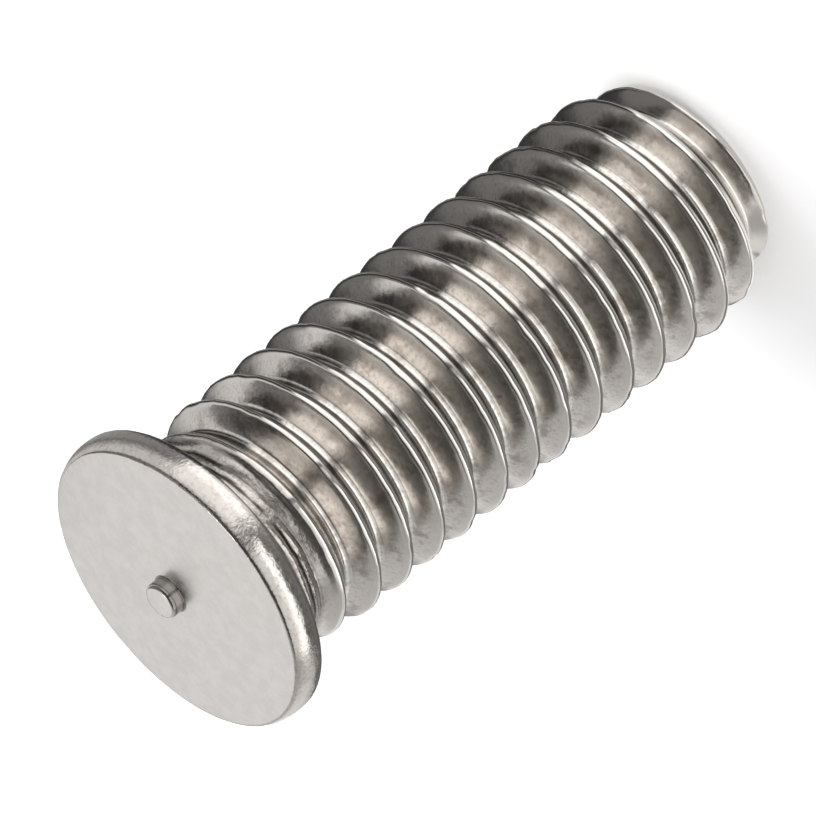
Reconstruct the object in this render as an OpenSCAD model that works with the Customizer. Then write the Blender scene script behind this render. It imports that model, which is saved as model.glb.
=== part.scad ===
// Capacitor-discharge weld stud: a headed blank with a rolled right-hand thread, made as one piece.
// It stands on its threaded end. Z runs up the stud's axis from that end to the weld face.
// All sizes are in millimetres.

/* [Stud] */
// Length from the threaded end to the rim of the weld face
stud_l = 16.2; // [8:0.1:40]

/* [Thread] */
// Diameter over the thread crests
thread_d = 5.97; // [5:0.01:7]
// Advance of the thread in one turn
pitch = 1; // [0.7:0.05:1.25]
// Included angle between two flanks
flank_angle = 60; // [50:1:70]
// Width of the flat along each crest
crest_w = 0.12; // [0.05:0.01:0.2]
// Radius of the rounded floor of the groove
root_r = 0.18; // [0.05:0.01:0.2]
// Angle at which the crest line leaves the threaded end
thread_start = -121; // [-180:1:180]
// Straight steps that make up one turn
turn_steps = 36; // [24:4:48]

/* [Point] */
// Length over which the crests fall towards the threaded end
point_l = 2; // [0.5:0.1:3]
// How far the crests have fallen where they meet the end
point_drop = 0.54; // [0.2:0.02:0.8]

/* [Neck] */
// Depth of the blank's neck below the thread crests
neck_drop = 0.3; // [0.1:0.05:0.5]
// Plain length of the neck under the flange
neck_l = 0.3; // [0.2:0.05:1]
// Length over which the thread rises from the neck to its full depth
runout_l = 2; // [0.5:0.1:3]
// Radius of the fillet between the neck and the flange
neck_fillet_r = 0.4; // [0.2:0.05:0.5]

/* [Flange] */
// Diameter of the flange, across the widest part of its rim
flange_d = 7.42; // [7:0.02:10]
// Thickness of the flange at its rim
flange_t = 0.8; // [0.6:0.05:1.4]
// Slope of the weld face, which rises to its middle
face_slope = 3; // [1:0.5:5]
// Radius of the rim's crowned section
rim_crown_r = 0.8; // [0.6:0.05:2]
// Distance from the weld face to the widest part of the rim
rim_peak_drop = 0.44; // [0.3:0.02:0.5]

/* [Ignition tip] */
// Diameter of the tip
tip_d = 0.88; // [0.6:0.02:1.2]
// Height of the tip above the middle of the weld face
tip_h = 0.34; // [0.3:0.02:1]
// Radius of the edge round the tip's end
tip_edge_r = 0.08; // [0.02:0.01:0.15]

/* [Hidden] */
$fn = 96;

thread_r = thread_d / 2;
flange_r = flange_d / 2;
tip_r = tip_d / 2;

// The neck keeps the radius of the blank that the thread was rolled on.
neck_r = thread_r - neck_drop;
// The fillet starts this far under the neck's surface, so that the two cross at an angle.
fillet_sink = 0.06;

// The flange lies between its back and the rim of the weld face, with the cone and the tip on top.
flange_back_z = stud_l - flange_t;
rim_middle_r = flange_r - rim_crown_r;
face_r = rim_middle_r + sqrt(pow(rim_crown_r, 2) - pow(rim_peak_drop, 2));
face_middle_z = stud_l + face_r * tan(face_slope);

// The flanks run down from the crest flat to the rounded root.
half_flank = flank_angle / 2;
root_half_w = root_r * cos(half_flank);
flank_depth = (pitch / 2 - crest_w / 2 - root_half_w) / tan(half_flank);
root_depth = flank_depth + root_r * (1 - sin(half_flank));

// The crests follow an arc over the point, and the whole thread fades into the neck.
point_arc_r = (pow(point_l, 2) + pow(point_drop, 2)) / (2 * point_drop);
neck_start_z = flange_back_z - neck_l;

// One turn of the thread, as steps along the axis and shares of the thread's height.
flank_share = 1 - flank_depth / root_depth;
turn_profile = [
    [-crest_w / 2, 1],
    [crest_w / 2, 1],
    [pitch / 2 - root_half_w, flank_share],
    [pitch / 2, 0],
    [pitch / 2 + root_half_w, flank_share]
];

// The helix starts below the end and stops inside the flange, and is cut off flat at both.
spare_turns = 1.5;
shank_top_z = stud_l - flange_t / 2;
helix_steps = ceil((shank_top_z / pitch + 2 * spare_turns) * turn_steps);
helix_start_z = -pitch * (spare_turns + thread_start / 360);

// Share of the full thread depth at a height: one along the thread, none along the neck.
function thread_share(z) =
    let (t = min(max((neck_start_z - z) / runout_l, 0), 1))
    t * t * (3 - 2 * t);

// How far the crests have fallen at a height within the point.
function point_fall(z) =
    let (x = min(max(point_l - z, 0), point_l))
    point_arc_r - sqrt(pow(point_arc_r, 2) - pow(x, 2));

// Radius of the crest and of the root at a height.
function crest_at(z) = neck_r + thread_share(z) * neck_drop - point_fall(z);
function root_at(z) = min(neck_r - thread_share(z) * (root_depth - neck_drop), crest_at(z));

// A point of the thread, from its step along the helix and its place in the profile.
function thread_point(step, place) =
    let (
        turn = step / turn_steps,
        angle = 360 * (turn - spare_turns),
        z = helix_start_z + pitch * turn + place[0],
        r = root_at(z) + place[1] * (crest_at(z) - root_at(z))
    )
    [r * cos(angle), r * sin(angle), z];

// Solid bar with the thread wound round it, closed by a fan of faces at each end.
module thread_bar() {
    n = len(turn_profile);
    function at(step, place) = step * n + place;
    function above(step, place) =
        place < n - 1 ? at(step, place + 1) : at(step + turn_steps, 0);

    last = helix_steps;
    low_middle = (last + 1) * n;
    high_middle = low_middle + 1;
    low_loop = concat(
        [for (step = [0 : turn_steps]) at(step, 0)],
        [for (place = [n - 1 : -1 : 1]) at(0, place)]
    );
    high_loop = concat(
        [for (step = [last - turn_steps : last]) at(step, n - 1)],
        [for (place = [n - 2 : -1 : 0]) at(last, place)]
    );

    points = concat(
        [for (step = [0 : last]) for (place = turn_profile) thread_point(step, place)],
        [[0, 0, helix_start_z], [0, 0, helix_start_z + pitch * last / turn_steps]]
    );
    sides = [
        for (place = [0 : n - 1])
        for (step = [0 : last - 1 - (place < n - 1 ? 0 : turn_steps)])
        for (half = [0, 1])
        half == 0
            ? [at(step, place), above(step, place), at(step + 1, place)]
            : [above(step, place), above(step + 1, place), at(step + 1, place)]
    ];
    low_end = [
        for (k = [0 : len(low_loop) - 1])
        [low_middle, low_loop[k], low_loop[(k + 1) % len(low_loop)]]
    ];
    high_end = [
        for (k = [0 : len(high_loop) - 1])
        [high_middle, high_loop[(k + 1) % len(high_loop)], high_loop[k]]
    ];
    polyhedron(points = points, faces = concat(sides, low_end, high_end), convexity = 10);
}

// Threaded shank, cut flat at the threaded end and inside the flange.
module shank() {
    intersection() {
        thread_bar();
        cylinder(h = shank_top_z, r = flange_r);
    }
}

// Half section of the flange, whose rim is crowned between its back and the weld face.
module flange_section() {
    intersection() {
        translate([0, flange_back_z])
            square([flange_r, flange_t]);
        union() {
            translate([0, flange_back_z])
                square([rim_middle_r, flange_t]);
            translate([rim_middle_r, stud_l - rim_peak_drop])
                circle(r = rim_crown_r);
        }
    }
}

// Half section of the fillet that joins the neck to the back of the flange.
module fillet_section() {
    inner_r = neck_r - fillet_sink;
    difference() {
        translate([0, flange_back_z - neck_fillet_r])
            square([inner_r + neck_fillet_r, neck_fillet_r + flange_t / 2]);
        translate([inner_r + neck_fillet_r, flange_back_z - neck_fillet_r])
            circle(r = neck_fillet_r);
    }
}

// Half section of the shallow cone of the weld face.
module face_section() {
    polygon([
        [0, stud_l - flange_t / 2],
        [face_r, stud_l],
        [0, face_middle_z]
    ]);
}

// Half section of the ignition tip, which grows out of the cone.
module tip_section() {
    tip_top_z = face_middle_z + tip_h;
    translate([0, stud_l])
        square([tip_r, tip_top_z - tip_edge_r - stud_l]);
    translate([0, stud_l])
        square([tip_r - tip_edge_r, tip_top_z - stud_l]);
    translate([tip_r - tip_edge_r, tip_top_z - tip_edge_r])
        circle(r = tip_edge_r);
}

// Flange with its fillet, weld face and ignition tip, turned about the stud's axis.
module head() {
    rotate_extrude() {
        flange_section();
        fillet_section();
        face_section();
        tip_section();
    }
}

// The whole stud, one solid.
module weld_stud() {
    color([0.76, 0.75, 0.73]) {
        union() {
            shank();
            head();
        }
    }
}

weld_stud();
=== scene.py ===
import math

import bmesh
import bpy
from mathutils import Matrix, Vector, noise


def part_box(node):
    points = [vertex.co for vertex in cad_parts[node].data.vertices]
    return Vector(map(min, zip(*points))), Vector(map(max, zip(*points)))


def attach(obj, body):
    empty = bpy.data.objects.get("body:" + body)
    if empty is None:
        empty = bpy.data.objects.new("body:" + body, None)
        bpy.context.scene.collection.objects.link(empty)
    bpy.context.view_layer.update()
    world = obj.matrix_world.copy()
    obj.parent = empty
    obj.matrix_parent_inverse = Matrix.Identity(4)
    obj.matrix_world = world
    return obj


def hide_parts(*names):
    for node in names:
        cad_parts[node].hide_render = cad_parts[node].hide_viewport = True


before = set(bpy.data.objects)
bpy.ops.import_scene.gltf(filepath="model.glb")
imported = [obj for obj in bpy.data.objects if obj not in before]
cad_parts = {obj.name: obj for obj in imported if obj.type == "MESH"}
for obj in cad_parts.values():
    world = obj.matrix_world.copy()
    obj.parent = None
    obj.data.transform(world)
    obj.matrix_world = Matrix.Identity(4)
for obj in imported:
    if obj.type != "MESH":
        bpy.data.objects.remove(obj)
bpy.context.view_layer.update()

# A capacitor-discharge weld stud in bright stainless steel, standing on its threaded end.
# The mesh is worked out in millimetres and scaled to metres when it is stored.
MM = 0.001
BODY = "root"
NODE = "weld_stud"

# Thread
THREAD_R = 2.985
PITCH = 1.0
HALF_FLANK = math.radians(30)
CREST_W = 0.12
CREST_EDGE_R = 0.1
FLANK_HOLLOW = 0.014
ROOT_R = 0.18
THREAD_START = -121
SPARE_TURNS = 1.5

# Point, neck and run-out
POINT_L = 2.0
POINT_DROP = 0.54
ROOT_FOLLOW = 0.8
NECK_DROP = 0.4
NECK_L = 0.3
RUNOUT_L = 2.0
NECK_FILLET_R = 0.34
JOIN_GAP = 0.02

# Flange, weld face and ignition tip
FLANGE_T = 0.8
RIM_CROWN_R = 0.8
RIM_PEAK_DROP = 0.44
RIM_BACK_R = 1.5
RIM_EDGE_R = 0.07
BACK_EDGE_R = 0.16
FACE_SLOPE = math.radians(3)
TIP_R = 0.44
TIP_H = 0.34
TIP_EDGE_R = 0.1
TIP_FOOT_R = 0.05

# The frame gives the flange's radius and the overall height.
node_low, node_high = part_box(NODE)
FLANGE_R = (node_high[0] - node_low[0]) / 2 / MM
RIM_MIDDLE_R = FLANGE_R - RIM_CROWN_R
FACE_R = RIM_MIDDLE_R + math.sqrt(RIM_CROWN_R ** 2 - RIM_PEAK_DROP ** 2)
FACE_RISE = FACE_R * math.tan(FACE_SLOPE)
STUD_L = node_high[2] / MM - TIP_H - FACE_RISE
FLANGE_BACK_Z = STUD_L - FLANGE_T
NECK_R = THREAD_R - NECK_DROP
NECK_START_Z = FLANGE_BACK_Z - NECK_L
JOIN_Z = FLANGE_BACK_Z - NECK_FILLET_R - JOIN_GAP

# Steps round the axis, and along the parts of the two sections
TURN_STEPS = 150
HEAD_STEPS = 240
CREST_EDGE_STEPS = 6
FLANK_STEPS = 6
ROOT_STEPS = 5
FILLET_STEPS = 8
BACK_STEPS = 4
CORNER_STEPS = 4
RIM_BACK_STEPS = 5
RIM_CROWN_STEPS = 7
FACE_STEPS = 18
TIP_FOOT_STEPS = 3
TIP_SIDE_STEPS = 5
TIP_EDGE_STEPS = 5

# Mesh: slack of a cut and of the search for its rim, and the angle of a sharp edge
CUT_SLACK = 1e-6
RIM_SLACK = 1e-5
SHARP_ANGLE = math.radians(50)

# Unevenness of the skin, in layers of noise, each with its height and its scale
ROLLED_WAVES = ((0.004, 1.7), (0.0016, 6))
TORN_WAVES = ((0.01, 5), (0.012, 9))
RIM_WAVES = ((0.006, 3), (0.003, 8), (0.0012, 20))
BUMP_LIFT = 0.4

# Torn skin near the flange: its start and fade as shares of the run-out, its ridges and fissures
TORN_START = 0.6
TORN_FADE = 0.4
NECK_RIDGES = 4
RIDGE_H = 0.024
RIDGE_MEAN = 0.7
RIDGE_SWELL = ((0.7, 2.2),)
RIDGE_WAVER = ((0.9, 1.3),)
FISSURE_START = 0.12
FISSURE_FADE = 0.3

# Wear of the crests: nicks and dents, each with its scales across the axis and along it
NICK_H = 0.05
NICK_START = 0.15
NICK_SCALES = (2.1, 1.3)
DENT_H = 0.012
DENT_SCALES = (5, 3)
WEAR_FADE = 6

# Marks that the mesh carries for the material: shares of groove, raw skin, weld face and painted
# shade
MARKS = ("groove", "neck", "face", "painted_shade")
END_CLEAN = 0.8
END_CLEAN_L = 0.9
END_CLEAN_FADE = 0.5
RIM_RAW = 0.5
RIM_START = 0.4
RIM_FADE = 0.2
NECK_MARGIN = 0.1
NECK_FADE = 0.2
FACE_MARGIN = 0.02
FACE_FADE = 0.06
TIP_SIDE_FADE = 0.05
LEVEL_SLACK = 0.01

# Painted shade: bands have a start, the length of their rise, an end and the length of their fall.
# In the thread they count in pitches from the root's middle, and on the tip in depth from its end.
ROOT_BAND = (0, 0.05, 0.09, 0.08)
CREST_BAND = (0.27, 0.06, 0.42, 0.04)
UNDER_CREST_SHADE = 0.6
UNDER_RIM_SHADE = 0.75
UNDER_RIM_H = 0.16
UNDER_RIM_FADE = 0.1
TIP_FOOT_SHADE = 0.8
TIP_FOOT_DEPTH = 0.25
TIP_FOOT_FADE = 0.06
TIP_EDGE_SHADE = 0.7
TIP_EDGE_BAND = (0.03, 0.03, 0.1, 0.04)

# Colours of the steel and of what lies on it, and of the painted shade
STEEL_DARK = (0.645, 0.61, 0.57, 1)
STEEL_LIGHT = (0.7, 0.667, 0.628, 1)
FACE_DARK = (0.605, 0.58, 0.559, 1)
FACE_LIGHT = (0.66, 0.636, 0.613, 1)
RAW = (0.28, 0.24, 0.21, 1)
SPECK = (0.33, 0.285, 0.25, 1)
SMUDGE = (0.26, 0.213, 0.175, 1)
# Painted shade for the roots, under the crests, behind the rim, round the tip and in the neck's
# fissures
PAINTED_SHADE_COLOUR = (0.04, 0.034, 0.03, 1)
FACE_SHARE = 0.9
RAW_SHARE = 0.45
PAINTED_SHADE_SHARE = 0.95

# Sizes of the material's patterns, as scales over a metre
CLOUD_SCALE = 900
PATCH_SCALE = 1700
MOTTLE_SCALE = 2600
GRAIN_SCALE = 9000
SPECK_SCALE = 11000

# Roughness of the crests and the flanks, and what the grain, the neck and the face add
CREST_ROUGH = 0.12
FLANK_ROUGH = 0.17
GRAIN_ROUGH = 0.07
NECK_ROUGH = 0.06
FACE_ROUGH = 0.2

# Relief of the grain: on the crests, and what the groove and the neck add
CREST_RELIEF = 0.6
GROOVE_RELIEF = 1.4
NECK_RELIEF = 9
BUMP_STRENGTH = 0.3
BUMP_DISTANCE = 0.006 * MM

# Studio: floor, surroundings and lamp, in metres and watts
WHITE = (1, 1, 1, 1)
FLOOR_GREY = (0.86, 0.86, 0.86, 1)
FLOOR_ROUGH = 0.9
FLOOR_GLOW = 0.3
FLOOR_HALF = 3
WORLD_LIGHT = 0.7
WORLD_SEEN = 0.3
LAMP_PLACE = (0.15, 0.05, 0.5)
LAMP_AIM = (0, 0, 0.008)
LAMP_SIZE = 0.25
LAMP_WATTS = 1.2

# Cards that the metal mirrors: radius of the walls, height over the floor, degrees in a step
WALL_R = 45
CARD_LIFT = 0.3
CARD_STEP = 2

# Camera: the photograph's frame, and where it shows a point of the stud's axis
IMAGE_PX = 816
PX_PER_MM = 45.884
AIM_PX = (430.5, 385.1)
AIM_DROP = 8
VIEW_ANGLE = math.radians(62.03)
ROLL = math.radians(38.76)
CAMERA_DISTANCE = 0.5
SENSOR_W = 36


def smooth(t):
    """Share that rises from 0 to 1 with level ends."""
    t = min(max(t, 0), 1)
    return t * t * (3 - 2 * t)


def band(t, start, rise, end, fall):
    """Share that rises from a start and falls from an end."""
    return smooth((t - start) / rise) * (1 - smooth((t - end) / fall))


def waves(place, layers):
    """Sum of layers of noise, each with its height and its scale."""
    return sum(height * noise.noise(place * scale) for height, scale in layers)


def arc(middle, radius, start, end, steps):
    """Points of an arc in the half section, angles in degrees from the outward direction."""
    points = []
    for k in range(steps + 1):
        angle = math.radians(start + (end - start) * k / steps)
        points.append((middle[0] + radius * math.cos(angle), middle[1] + radius * math.sin(angle)))
    return points


def line(start, end, steps):
    """Points between two others, without the ends."""
    return [(start[0] + (end[0] - start[0]) * k / steps, start[1] + (end[1] - start[1]) * k / steps)
            for k in range(1, steps)]


def corner(start, middle, end):
    """Rounded corner from start to end, as a curve that is pulled towards the sharp corner."""
    points = []
    for k in range(CORNER_STEPS + 1):
        t = k / CORNER_STEPS
        weights = ((1 - t) ** 2, 2 * t * (1 - t), t ** 2)
        points.append(tuple(sum(w * p[i] for w, p in zip(weights, (start, middle, end)))
                            for i in (0, 1)))
    return points


def groove_side():
    """Half of one turn, from the middle of the crest to the middle of the root.

    Each point is a step along the axis and a depth below the crest."""
    tangent = CREST_EDGE_R * math.tan(math.pi / 4 - HALF_FLANK / 2)
    land_end = CREST_W / 2 - tangent
    root_half_w = ROOT_R * math.cos(HALF_FLANK)
    flank_depth = (PITCH / 2 - CREST_W / 2 - root_half_w) / math.tan(HALF_FLANK)
    root_middle_depth = flank_depth - ROOT_R * math.sin(HALF_FLANK)
    flank_angle = math.degrees(HALF_FLANK)
    edge = arc((land_end, -CREST_EDGE_R), CREST_EDGE_R, 90, flank_angle, CREST_EDGE_STEPS)
    edge = [(x, -y) for x, y in edge]
    root = arc((PITCH / 2, -root_middle_depth), ROOT_R, 180 + flank_angle, 270, ROOT_STEPS)
    root = [(x, -y) for x, y in root]
    flank = line(edge[-1], root[0], FLANK_STEPS)
    hollow = [(x, depth + FLANK_HOLLOW * 4 * k * (FLANK_STEPS - k) / FLANK_STEPS ** 2)
              for k, (x, depth) in enumerate(flank, 1)]
    return [(0, 0)] + edge + hollow + root


def turn_profile():
    """One whole turn, from crest middle to just before the next crest's middle."""
    side = groove_side()
    back = [(PITCH - x, depth) for x, depth in reversed(side[1:-1])]
    return side + back


def thread_share(z):
    """Share of the full thread depth at a height: one along the thread, none along the neck."""
    return smooth((NECK_START_Z - z) / RUNOUT_L)


def point_fall(z):
    """How far the crests have fallen at a height within the point."""
    arc_r = (POINT_L ** 2 + POINT_DROP ** 2) / (2 * POINT_DROP)
    x = min(max(POINT_L - z, 0), POINT_L)
    return arc_r - math.sqrt(arc_r ** 2 - x ** 2)


def neck_share(z):
    """Share of the coarse skin that the rolling dies left unpressed near the flange."""
    return smooth((z - (NECK_START_Z - TORN_START * RUNOUT_L)) / (TORN_FADE * RUNOUT_L))


def neck_ridge(place):
    """Height of the fine ridges along the helix that the dies left on the neck, about -1 to 1."""
    along_helix = place.z / PITCH - math.atan2(place.y, place.x) / (2 * math.pi)
    height = RIDGE_MEAN + waves(place, RIDGE_SWELL)
    return height * math.sin(2 * math.pi * NECK_RIDGES * along_helix + waves(place, RIDGE_WAVER))


def fissure(place):
    """Share of the fissures between the neck's ridges, where shade is painted."""
    return smooth((-neck_ridge(place) - FISSURE_START) / FISSURE_FADE)


def skin(x, y, z, coarse):
    """Small unevenness of the surface: rolled skin, and a torn skin with fine ridges on the neck."""
    place = Vector((x, y, z))
    rolled = waves(place, ROLLED_WAVES)
    if coarse <= 0:
        return rolled
    return rolled + coarse * (RIDGE_H * neck_ridge(place) + waves(place, TORN_WAVES))


def crest_noise(unit, z, scales):
    """Noise along the crests, with a scale across the axis and one along it."""
    across = THREAD_R * scales[0]
    return noise.noise(Vector((across * unit[0], across * unit[1], z * scales[1])))


def crest_wear(unit, z, share):
    """How far the crests are worn by nicks and dents, which fade just below the crest."""
    nick = max(crest_noise(unit, z, NICK_SCALES) - NICK_START, 0)
    dent = crest_noise(unit, z, DENT_SCALES)
    return (NICK_H * nick + DENT_H * dent) * max(1 - share * WEAR_FADE, 0)


def thread_point(step, place, root_depth):
    """A point of the thread and its share of the groove's depth."""
    turn = step / TURN_STEPS
    angle = 2 * math.pi * turn
    z = PITCH * (turn - THREAD_START / 360) + place[0]
    height = thread_share(z)
    fall = point_fall(z)
    crest = NECK_R + height * NECK_DROP - fall
    root = min(NECK_R - height * (root_depth - NECK_DROP) - ROOT_FOLLOW * fall, crest)
    share = place[1] / root_depth
    r = crest + (root - crest) * share
    unit = (math.cos(angle), math.sin(angle))
    r += skin(r * unit[0], r * unit[1], z, neck_share(z)) - crest_wear(unit, z, share)
    return Vector((r * unit[0], r * unit[1], z)), share


def thread_painted_shade(place):
    """Share of painted shade at a place of the profile: in the root and under the next crest."""
    past_root = place[0] / PITCH - 0.5
    return band(past_root, *ROOT_BAND) + UNDER_CREST_SHADE * band(past_root, *CREST_BAND)


def end_dirt(z):
    """Share of the groove's dirt at a height: whole along the thread, little near its end."""
    return 1 - END_CLEAN * smooth((END_CLEAN_L - z) / END_CLEAN_FADE)


def add_row(bm, marks, step, profile, root_depth):
    """Points of one whole profile, at one step along the helix, with their marks."""
    row = []
    for place in profile:
        point, share = thread_point(step, place, root_depth)
        depth = thread_share(point.z)
        raw = neck_share(point.z)
        vert = bm.verts.new(point)
        vert[marks["groove"]] = share * depth * end_dirt(point.z)
        vert[marks["neck"]] = raw
        # Painted shade in the root, under the next crest and in the neck's fissures
        vert[marks["painted_shade"]] = max(thread_painted_shade(place) * depth, raw * fissure(point))
        row.append(vert)
    return row


def add_thread(bm, marks):
    """Helical skin of the shank, cut flat at the threaded end and in the neck."""
    profile = turn_profile()
    root_depth = max(depth for _, depth in profile)
    first = -math.ceil((SPARE_TURNS - THREAD_START / 360) * TURN_STEPS)
    last = math.ceil((JOIN_Z / PITCH + SPARE_TURNS + THREAD_START / 360) * TURN_STEPS)
    grid = [add_row(bm, marks, step, profile, root_depth) for step in range(first, last + 1)]
    for k, (row, ahead) in enumerate(zip(grid, grid[1:])):
        for p in range(len(profile) - 1):
            bm.faces.new((row[p], ahead[p], ahead[p + 1], row[p + 1]))
        above = k + TURN_STEPS
        if above + 1 < len(grid):
            bm.faces.new((row[-1], ahead[-1], grid[above + 1][0], grid[above][0]))
    cut_flat(bm, 0, -1)
    cut_flat(bm, JOIN_Z, 1)


def cut_flat(bm, z, side):
    """Cuts away what lies beyond a level plane."""
    geometry = bm.verts[:] + bm.edges[:] + bm.faces[:]
    bmesh.ops.bisect_plane(bm, geom=geometry, dist=CUT_SLACK, plane_co=(0, 0, z),
                           plane_no=(0, 0, side), clear_outer=True)


def open_rim(bm, z):
    """Points along the open edge at a height, in order of angle."""
    rim = [v for v in bm.verts if abs(v.co.z - z) < RIM_SLACK and v.is_boundary]
    return sorted(rim, key=lambda v: math.atan2(v.co.y, v.co.x))


def close_end(bm):
    """Flat face of the threaded end."""
    face = bm.faces.new(list(reversed(open_rim(bm, 0))))
    bmesh.ops.triangulate(bm, faces=[face])


def rim_section():
    """Half section of the flange from its back to the weld face, with rounded edges."""
    crown = (RIM_MIDDLE_R, STUD_L - RIM_PEAK_DROP)
    back = (FLANGE_R - RIM_BACK_R, STUD_L - RIM_PEAK_DROP)
    back_angle = math.degrees(math.asin((FLANGE_T - RIM_PEAK_DROP) / RIM_BACK_R))
    face_angle = math.degrees(math.asin(RIM_PEAK_DROP / RIM_CROWN_R))
    back_turn = math.degrees(BACK_EDGE_R / RIM_BACK_R)
    face_turn = math.degrees(RIM_EDGE_R / RIM_CROWN_R)
    rim = arc(back, RIM_BACK_R, back_turn - back_angle, 0, RIM_BACK_STEPS)
    rim += arc(crown, RIM_CROWN_R, 0, face_angle - face_turn, RIM_CROWN_STEPS)[1:]
    back_r = back[0] + RIM_BACK_R * math.cos(math.radians(back_angle)) - BACK_EDGE_R
    back_edge = corner((back_r, FLANGE_BACK_Z), (back_r + BACK_EDGE_R, FLANGE_BACK_Z), rim[0])
    face_start = (FACE_R - RIM_EDGE_R, STUD_L + RIM_EDGE_R * math.tan(FACE_SLOPE))
    face_edge = corner(rim[-1], (FACE_R, STUD_L), face_start)
    return back_edge + rim[1:-1] + face_edge


def tip_section(top_z):
    """Half section of the ignition tip, from its foot on the weld face to its flat end."""
    foot_z = STUD_L + (FACE_R - TIP_R) * math.tan(FACE_SLOPE)
    foot = arc((TIP_R + TIP_FOOT_R, foot_z + TIP_FOOT_R), TIP_FOOT_R, 270, 180, TIP_FOOT_STEPS)
    edge_r = TIP_R - TIP_EDGE_R
    edge = arc((edge_r, top_z - TIP_EDGE_R), TIP_EDGE_R, 0, 90, TIP_EDGE_STEPS)
    return foot + line(foot[-1], edge[0], TIP_SIDE_STEPS) + edge + [(edge_r / 2, top_z)]


def head_section(top_z):
    """Half section of the head, from the neck up over the flange to the ignition tip."""
    fillet_middle = (NECK_R + NECK_FILLET_R, FLANGE_BACK_Z - NECK_FILLET_R)
    fillet = arc(fillet_middle, NECK_FILLET_R, 180, 90, FILLET_STEPS)
    rim = rim_section()
    face_end_r = TIP_R + TIP_FOOT_R
    face_end = (face_end_r, STUD_L + (FACE_R - face_end_r) * math.tan(FACE_SLOPE))
    back = line(fillet[-1], rim[0], BACK_STEPS)
    face = line(rim[-1], face_end, FACE_STEPS)
    return fillet + back + rim + face + tip_section(top_z)


def neck_mark(r, z):
    """Share of the raw skin on the fillet, which fades over the flange's back."""
    if z >= FLANGE_BACK_Z + LEVEL_SLACK:
        return 0
    return smooth((NECK_R + NECK_FILLET_R + NECK_MARGIN - r) / NECK_FADE)


def tip_side(r):
    """Share of the ignition tip's side at a radius: none on the weld face and on the tip's end."""
    on_foot = smooth((TIP_R + TIP_FOOT_R - r) / TIP_FOOT_R)
    return on_foot * smooth((r - TIP_R + TIP_EDGE_R) / TIP_SIDE_FADE)


def face_mark(r, z):
    """Share of the blasted look, which the weld face and the tip's end have."""
    if z <= STUD_L - FACE_MARGIN:
        return 0
    return smooth((FACE_R - FACE_MARGIN - r) / FACE_FADE) * (1 - tip_side(r))


def head_painted_shade(r, z, top_z):
    """Share of painted shade on the head: behind the rim's edge, round the tip's foot and under its
    edge.
    """
    if z <= FLANGE_BACK_Z - LEVEL_SLACK:
        return 0
    under_rim = smooth((FLANGE_BACK_Z + UNDER_RIM_H - z) / UNDER_RIM_FADE)
    under_rim *= smooth((r - RIM_MIDDLE_R - RIM_START) / UNDER_RIM_FADE)
    depth = top_z - z
    at_foot = TIP_FOOT_SHADE * smooth((depth - TIP_FOOT_DEPTH) / TIP_FOOT_FADE)
    at_edge = TIP_EDGE_SHADE * band(depth, *TIP_EDGE_BAND)
    return max(UNDER_RIM_SHADE * under_rim, tip_side(r) * max(at_foot, at_edge))


def add_ring(bm, marks, r, z, top_z):
    """Points of the head at one place of its section, uneven and with their marks."""
    on_neck = neck_mark(r, z)
    on_face = face_mark(r, z)
    on_rim = smooth((r - RIM_MIDDLE_R - RIM_START) / RIM_FADE) * (1 - on_face)
    shaded = head_painted_shade(r, z, top_z)
    ring = []
    for k in range(HEAD_STEPS):
        angle = -math.pi + 2 * math.pi * (k + 0.5) / HEAD_STEPS
        x = math.cos(angle)
        y = math.sin(angle)
        bump = skin(r * x, r * y, z, on_neck) + on_rim * waves(Vector((r * x, r * y, z)), RIM_WAVES)
        vert = bm.verts.new(((r + bump) * x, (r + bump) * y, z + BUMP_LIFT * bump))
        vert[marks["neck"]] = max(on_neck, RIM_RAW * on_rim)
        vert[marks["face"]] = on_face
        # Painted shade behind the rim, round the tip and in the neck's fissures
        vert[marks["painted_shade"]] = max(shaded, on_neck * fissure(vert.co))
        ring.append(vert)
    return ring


def add_head(bm, marks, lower_rim):
    """Flange, weld face and tip, turned about the axis and joined to the rim of the neck."""
    top_z = STUD_L + FACE_RISE + TIP_H
    rings = [add_ring(bm, marks, r, z, top_z) for r, z in head_section(top_z)]
    for low, high in zip(rings, rings[1:]):
        for k in range(HEAD_STEPS):
            ahead = (k + 1) % HEAD_STEPS
            bm.faces.new((low[k], low[ahead], high[ahead], high[k]))
    middle = bm.verts.new((0, 0, top_z))
    middle[marks["face"]] = 1
    for k in range(HEAD_STEPS):
        bm.faces.new((rings[-1][k], rings[-1][(k + 1) % HEAD_STEPS], middle))
    join_rims(bm, lower_rim, rings[0])


def join_rims(bm, low, high):
    """Closes the band between two rims, both in order of angle, with triangles."""
    def angle_at(rim, k):
        turn, place = divmod(k, len(rim))
        return math.atan2(rim[place].co.y, rim[place].co.x) + 2 * math.pi * turn

    i = 0
    j = 0
    while i < len(low) or j < len(high):
        a = low[i % len(low)]
        b = high[j % len(high)]
        if j == len(high) or (i < len(low) and angle_at(low, i + 1) <= angle_at(high, j + 1)):
            i += 1
            bm.faces.new((a, low[i % len(low)], b))
        else:
            j += 1
            bm.faces.new((a, high[j % len(high)], b))


def build_stud():
    """The stud's one closed mesh, in metres."""
    bm = bmesh.new()
    marks = {name: bm.verts.layers.float.new(name) for name in MARKS}
    add_thread(bm, marks)
    neck_rim = open_rim(bm, JOIN_Z)
    close_end(bm)
    add_head(bm, marks, neck_rim)
    bmesh.ops.scale(bm, vec=(MM, MM, MM), verts=bm.verts[:])
    mesh = bpy.data.meshes.new("stud_body")
    bm.to_mesh(mesh)
    bm.free()
    mesh.shade_smooth()
    mesh.set_sharp_from_angle(angle=SHARP_ANGLE)
    stud = bpy.data.objects.new("stud_body", mesh)
    bpy.context.scene.collection.objects.link(stud)
    return stud


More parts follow.
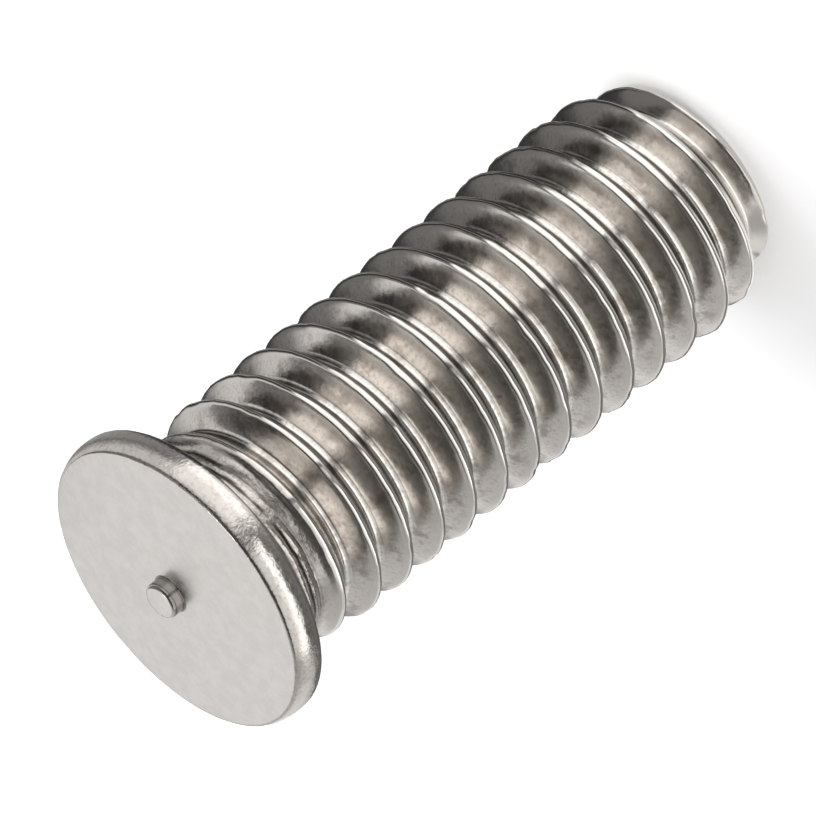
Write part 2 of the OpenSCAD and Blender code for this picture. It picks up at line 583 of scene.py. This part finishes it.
class Nodes:
    """Short calls for making and joining shader nodes."""

    def __init__(self, tree):
        self.tree = tree

    def new(self, kind, **settings):
        node = self.tree.nodes.new("ShaderNode" + kind)
        for name, value in settings.items():
            setattr(node, name, value)
        return node

    def join(self, source, target):
        self.tree.links.new(source, target)

    def attribute(self, name):
        return self.new("Attribute", attribute_name=name).outputs["Fac"]

    def noise(self, vector, scale, detail, roughness=0.5):
        node = self.new("TexNoise")
        node.inputs["Scale"].default_value = scale
        node.inputs["Detail"].default_value = detail
        node.inputs["Roughness"].default_value = roughness
        self.join(vector, node.inputs["Vector"])
        return node.outputs["Fac"]

    def range(self, value, span, to=(0, 1)):
        """Smooth change between two results while a value goes through a span."""
        node = self.new("MapRange", interpolation_type="SMOOTHSTEP")
        for name, number in zip(("From Min", "From Max", "To Min", "To Max"), span + to):
            node.inputs[name].default_value = number
        self.join(value, node.inputs["Value"])
        return node.outputs["Result"]

    def math(self, operation, a, b):
        node = self.new("Math", operation=operation)
        for socket, value in zip(node.inputs, (a, b)):
            if isinstance(value, (int, float)):
                socket.default_value = value
            else:
                self.join(value, socket)
        return node.outputs["Value"]

    def mix_colour(self, share, a, b):
        node = self.new("Mix", data_type="RGBA")
        self.join(share, node.inputs["Factor"])
        for socket, value in ((node.inputs["A"], a), (node.inputs["B"], b)):
            if isinstance(value, tuple):
                socket.default_value = value
            else:
                self.join(value, socket)
        return node.outputs["Result"]

    def seen(self):
        """One for the camera and for what is mirrored or seen through, none for plain light."""
        path = self.new("LightPath")
        seen = self.math("MAXIMUM", path.outputs["Is Camera Ray"], path.outputs["Is Glossy Ray"])
        return self.math("MAXIMUM", seen, path.outputs["Is Transmission Ray"])


def steel_colour(n, place, groove, neck, face, painted_shade):
    """Cloudy steel, with specks and smudges in the grooves, a mottled face, a raw neck and painted
    shade.
    """
    cloud = n.range(n.noise(place, CLOUD_SCALE, 3), (0.3, 0.7))
    steel = n.mix_colour(cloud, STEEL_DARK, STEEL_LIGHT)
    speck = n.range(n.noise(place, SPECK_SCALE, 2, 0.6), (0.45, 0.75), (0, 0.7))
    speck_place = n.math("MAXIMUM", n.range(groove, (0.05, 0.4), (0, 0.55)), neck)
    steel = n.mix_colour(n.math("MULTIPLY", speck, speck_place), steel, SPECK)
    mottle = n.range(n.noise(place, MOTTLE_SCALE, 4, 0.7), (0.35, 0.65))
    mottled = n.mix_colour(mottle, FACE_DARK, FACE_LIGHT)
    steel = n.mix_colour(n.math("MULTIPLY", face, FACE_SHARE), steel, mottled)
    steel = n.mix_colour(n.math("MULTIPLY", neck, RAW_SHARE), steel, RAW)
    patch = n.range(n.noise(place, PATCH_SCALE, 3, 0.6), (0.5, 0.68), (0, 0.6))
    smudge = n.math("MULTIPLY", patch, n.range(groove, (0.1, 0.5)))
    steel = n.mix_colour(smudge, steel, SMUDGE)
    # Painted shade darkens the steel where its mark lies
    return n.mix_colour(n.math("MULTIPLY", painted_shade, PAINTED_SHADE_SHARE), steel, PAINTED_SHADE_COLOUR)


def steel_roughness(n, grain, groove, neck, face):
    """Burnished crests, duller flanks and neck, and the dullest weld face."""
    rough = n.range(groove, (0.02, 0.3), (CREST_ROUGH, FLANK_ROUGH))
    rough = n.math("ADD", rough, n.range(grain, (0.3, 0.7), (0, GRAIN_ROUGH)))
    rough = n.math("ADD", rough, n.math("MULTIPLY", neck, NECK_ROUGH))
    return n.math("ADD", rough, n.math("MULTIPLY", face, FACE_ROUGH))


def steel_grain(n, grain, groove, neck):
    """Fine relief of the skin: faint on the crests, more in the grooves, most on the neck."""
    relief = n.math("ADD", n.math("MULTIPLY", groove, GROOVE_RELIEF), CREST_RELIEF)
    relief = n.math("ADD", n.math("MULTIPLY", neck, NECK_RELIEF), relief)
    bump = n.new("Bump")
    bump.inputs["Strength"].default_value = BUMP_STRENGTH
    bump.inputs["Distance"].default_value = BUMP_DISTANCE
    n.join(n.math("MULTIPLY", grain, relief), bump.inputs["Height"])
    return bump.outputs["Normal"]


def steel_material():
    """Bright stainless steel, which follows the marks that the mesh carries."""
    material = bpy.data.materials.new("stainless_steel")
    material.use_nodes = True
    n = Nodes(material.node_tree)
    shader = material.node_tree.nodes["Principled BSDF"]
    place = n.new("TexCoord").outputs["Object"]
    groove, neck, face, painted_shade = [n.attribute(name) for name in MARKS]
    grain = n.noise(place, GRAIN_SCALE, 3, 0.6)
    n.join(steel_colour(n, place, groove, neck, face, painted_shade), shader.inputs["Base Color"])
    n.join(steel_roughness(n, grain, groove, neck, face), shader.inputs["Roughness"])
    n.join(steel_grain(n, grain, groove, neck), shader.inputs["Normal"])
    shader.inputs["Metallic"].default_value = 1
    return material


def floor_material():
    """White floor: it keeps the shadow, and reads as white to the camera and in the metal."""
    material = bpy.data.materials.new("white_floor")
    material.use_nodes = True
    n = Nodes(material.node_tree)
    shader = material.node_tree.nodes["Principled BSDF"]
    shader.inputs["Base Color"].default_value = FLOOR_GREY
    shader.inputs["Roughness"].default_value = FLOOR_ROUGH
    shader.inputs["Emission Color"].default_value = WHITE
    n.join(n.math("MULTIPLY", n.seen(), FLOOR_GLOW), shader.inputs["Emission Strength"])
    return material


def add_floor():
    """Wide level floor under the stud."""
    half = FLOOR_HALF
    mesh = bpy.data.meshes.new("floor")
    corners = [(-half, -half, 0), (half, -half, 0), (half, half, 0), (-half, half, 0)]
    mesh.from_pydata(corners, [], [(0, 1, 2, 3)])
    mesh.materials.append(floor_material())
    floor = bpy.data.objects.new("floor", mesh)
    bpy.context.scene.collection.objects.link(floor)


def set_world():
    """White surroundings, a little weaker as light than as a backdrop."""
    world = bpy.data.worlds.new("studio")
    bpy.context.scene.world = world
    world.use_nodes = True
    n = Nodes(world.node_tree)
    level = n.math("ADD", n.math("MULTIPLY", n.seen(), WORLD_SEEN), WORLD_LIGHT)
    background = world.node_tree.nodes["Background"]
    background.inputs["Color"].default_value = WHITE
    n.join(level, background.inputs["Strength"])


def card_material():
    """Plain card, whose grey is stored along it."""
    material = bpy.data.materials.new("grey_card")
    material.use_nodes = True
    nodes = material.node_tree.nodes
    nodes.remove(nodes["Principled BSDF"])
    n = Nodes(material.node_tree)
    glow = n.new("Emission")
    n.join(n.attribute("level"), glow.inputs["Strength"])
    n.join(glow.outputs["Emission"], nodes["Material Output"].inputs["Surface"])
    return material


def level_at(levels, bearing):
    """Brightness at a bearing, between the stops on either side."""
    for (start, low), (end, high) in zip(levels, levels[1:]):
        if bearing <= end:
            return low + (high - low) * (bearing - start) / (end - start)
    return levels[-1][1]


def card_mesh(name, path, levels):
    """Curved card round the stud, with its brightness stored at its points."""
    start = levels[0][0]
    end = levels[-1][0]
    steps = math.ceil((end - start) / CARD_STEP)
    verts = []
    greys = []
    faces = []
    n = len(path)
    for k in range(steps + 1):
        bearing = start + (end - start) * k / steps
        angle = math.radians(bearing)
        for r, z, share in path:
            verts.append((-r * MM * math.sin(angle), -r * MM * math.cos(angle), z * MM))
            greys.append(share * level_at(levels, bearing))
    for k in range(steps):
        for p in range(n - 1):
            faces.append((k * n + p, k * n + p + 1, (k + 1) * n + p + 1, (k + 1) * n + p))
    mesh = bpy.data.meshes.new(name)
    mesh.from_pydata(verts, [], faces)
    mesh.attributes.new("level", "FLOAT", "POINT").data.foreach_set("value", greys)
    return mesh


def add_card(name, path, levels):
    """Card that shows in the metal only.

    The path is its section: radius and height in millimetres, and a share of the brightness.
    The levels are its brightness at some bearings, in degrees from the camera's side towards -X."""
    mesh = card_mesh(name, path, levels)
    mesh.materials.append(card_material())
    card = bpy.data.objects.new(name, mesh)
    card.visible_camera = False
    card.visible_diffuse = False
    card.visible_shadow = False
    bpy.context.scene.collection.objects.link(card)


def add_floor_cards():
    """Cards on the floor, which the crests and the undersides mirror."""
    # Close round the foot: light at the front left and at the right, and dark elsewhere as a painted
    # contact shadow that only the metal mirrors
    add_card("foot_ring", [(2.7, 0.05, 1), (4.2, 0.05, 1)],
             [(-180, 0.08), (-66, 0.05), (-50, 0.9), (-12, 0.9), (2, 0.35), (12, 0.35),
              (25, 1.2), (100, 1.2), (130, 0.3), (180, 0.08)])
    # Further out: light at the front left only
    add_card("floor_ring", [(4.2, CARD_LIFT, 1.8), (12, CARD_LIFT, 1.45), (30, CARD_LIFT, 1)],
             [(-160, 0.16), (-120, 0.12), (-100, 0.03), (-66, 0.03), (-50, 0.98), (-15, 0.98),
              (2, 0.36), (15, 0.22), (30, 0.18), (95, 0.18), (110, 0.16), (160, 0.16)])
    # Under the right wall: dark, and light grey at the back
    add_card("right_floor", [(30, CARD_LIFT, 1), (43, CARD_LIFT, 1)],
             [(3, 0.14), (30, 0.1), (95, 0.1), (100, 0.72), (160, 0.72)])
    # Under the left wall: grey
    add_card("left_floor", [(19, 0.35, 0.2), (23, 0.35, 1), (WALL_R, 0.35, 1)],
             [(-165, 0.4), (-64, 0.3)])


def add_left_cards():
    """Cards at the left and at the front, which the stud's left half mirrors."""
    # Low wall: nearly black
    add_card("left_wall_low", [(WALL_R, CARD_LIFT, 1), (WALL_R, 20, 1)],
             [(-190, 0.12), (-165, 0.05), (-64, 0.04)])
    # High wall: dark grey
    add_card("left_wall_high", [(WALL_R, 20, 1), (WALL_R, 26, 4), (WALL_R, 62, 4)],
             [(-160, 0.05), (-64, 0.05)])
    # Light strip at the height of the flange
    add_card("left_strip", [(8, 13.6, 0.1), (8, 15.6, 1), (8, 18.6, 1)], [(-160, 0.8), (-53, 0.8)])
    # Bright panel at the front left, weaker towards its top
    add_card("front_panel", [(20, CARD_LIFT, 1.05), (20, 6, 1.05), (20, 9, 0.76),
                             (20, 18, 0.74), (20, 22, 0.58), (20, 26, 0.4)],
             [(-64, 0.1), (-58, 1.9), (-6, 1.9), (-2, 0.25), (3, 0.12)])


def add_right_cards():
    """Cards at the right and overhead, which the stud's right half and the flanks mirror."""
    # Bright wall, weaker towards its top, with a dark edge at the front
    add_card("right_wall", [(WALL_R, CARD_LIFT, 1.25), (WALL_R, 9, 1.2), (WALL_R, 14, 0.95),
                            (WALL_R, 19, 0.6), (WALL_R, 45, 0.52)],
             [(3, 0.12), (6, 0.12), (10, 1.8), (85, 1.8), (95, 0.95)])
    # Light grey wall further back
    add_card("right_wall_back", [(WALL_R, CARD_LIFT, 0.85), (WALL_R, 14, 0.85),
                                 (WALL_R, 19, 0.6), (WALL_R, 45, 0.52)],
             [(95, 0.95), (112, 0.9), (120, 1.1), (160, 1.1)])
    # Low end of that wall, which fades to dark
    add_card("right_back", [(WALL_R, CARD_LIFT, 1), (WALL_R, 20, 1)], [(160, 0.5), (170, 0.2)])
    # Dome: dark, and grey at the right back
    add_card("dome", [(0.5, 100, 1), (60, 100, 1), (60, 36, 1)],
             [(-150, 0.07), (95, 0.07), (120, 0.5), (150, 0.5)])


def add_lamp(name, place, size, watts):
    """Square softbox, turned to the stud."""
    light = bpy.data.lights.new(name, "AREA")
    light.size = size
    light.energy = watts
    lamp = bpy.data.objects.new(name, light)
    lamp.location = place
    lamp.rotation_euler = (Vector(LAMP_AIM) - Vector(place)).to_track_quat("-Z", "Y").to_euler()
    bpy.context.scene.collection.objects.link(lamp)


def add_camera():
    """Camera at the photograph's angle: the axis leans away, and the picture is rolled."""
    near = Vector((0, -1, 0))
    up = Vector((0, 0, 1))
    along = -up * math.sin(VIEW_ANGLE) + near * math.cos(VIEW_ANGLE)
    across = Vector((-1, 0, 0))
    forward = -up * math.cos(VIEW_ANGLE) - near * math.sin(VIEW_ANGLE)
    right = along * math.cos(ROLL) + across * math.sin(ROLL)
    down = -along * math.sin(ROLL) + across * math.cos(ROLL)
    aim = up * (STUD_L - AIM_DROP) * MM
    offset_right = (AIM_PX[0] - IMAGE_PX / 2) / PX_PER_MM * MM
    offset_down = (AIM_PX[1] - IMAGE_PX / 2) / PX_PER_MM * MM
    place = aim - forward * CAMERA_DISTANCE - right * offset_right - down * offset_down
    data = bpy.data.cameras.new("camera")
    data.sensor_width = SENSOR_W
    data.lens = PX_PER_MM / MM * CAMERA_DISTANCE * SENSOR_W / IMAGE_PX
    camera = bpy.data.objects.new("camera", data)
    axes = Matrix((right, -down, -forward)).transposed()
    camera.matrix_world = Matrix.Translation(place) @ axes.to_4x4()
    bpy.context.scene.collection.objects.link(camera)
    bpy.context.scene.camera = camera


stud = build_stud()
stud.data.materials.append(steel_material())
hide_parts(NODE)
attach(stud, BODY)

add_floor()
set_world()
add_floor_cards()
add_left_cards()
add_right_cards()
add_lamp("overhead_softbox", LAMP_PLACE, LAMP_SIZE, LAMP_WATTS)
add_camera()
bpy.context.scene.view_settings.view_transform = "Standard"
